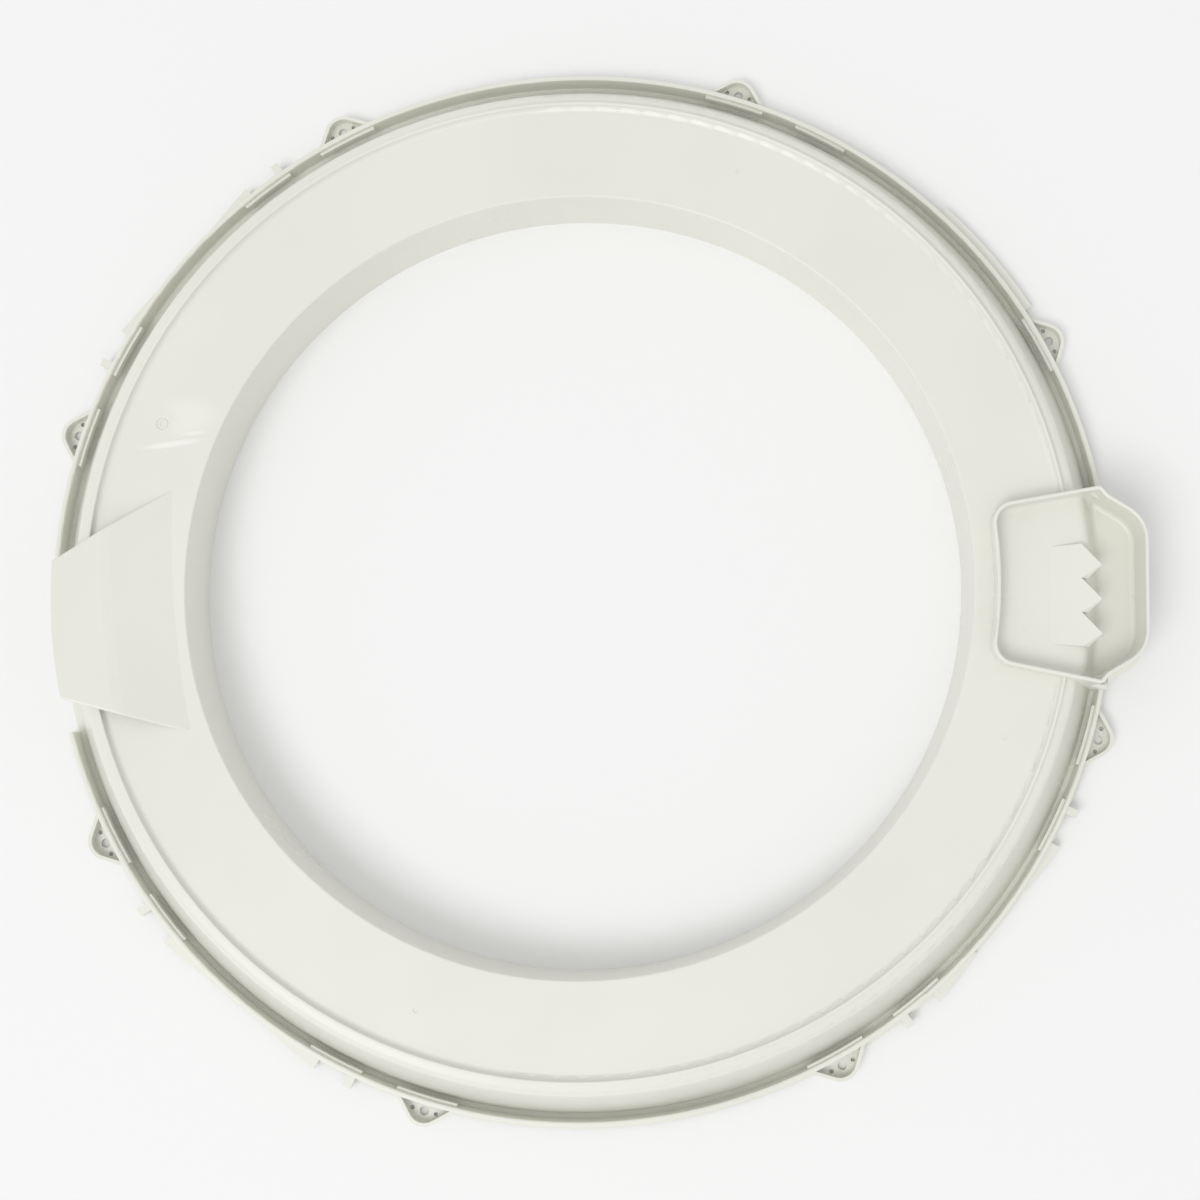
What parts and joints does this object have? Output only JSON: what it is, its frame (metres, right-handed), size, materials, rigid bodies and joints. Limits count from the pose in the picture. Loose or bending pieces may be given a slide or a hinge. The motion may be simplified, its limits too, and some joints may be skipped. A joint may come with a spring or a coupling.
{
  "type": "washer tub cover",
  "caption": "Moulded plastic ring that closes the top of a washer's outer tub, with screw lugs round its lip, a raised water deflector and an open fill cup with a toothed tongue.",
  "frame": {"origin": "on the ring's axis, in the plane of its feet", "axes": "+Z along the ring's axis, up out of the washer; +X towards the fill cup"},
  "size_m": [0.6488, 0.6344, 0.057],
  "materials": {
    "cover_plastic": "satin moulded polypropylene, warm light grey"
  },
  "bodies": {
    "root": {"tub_cover": "cover_plastic"}
  },
  "joints": []
}
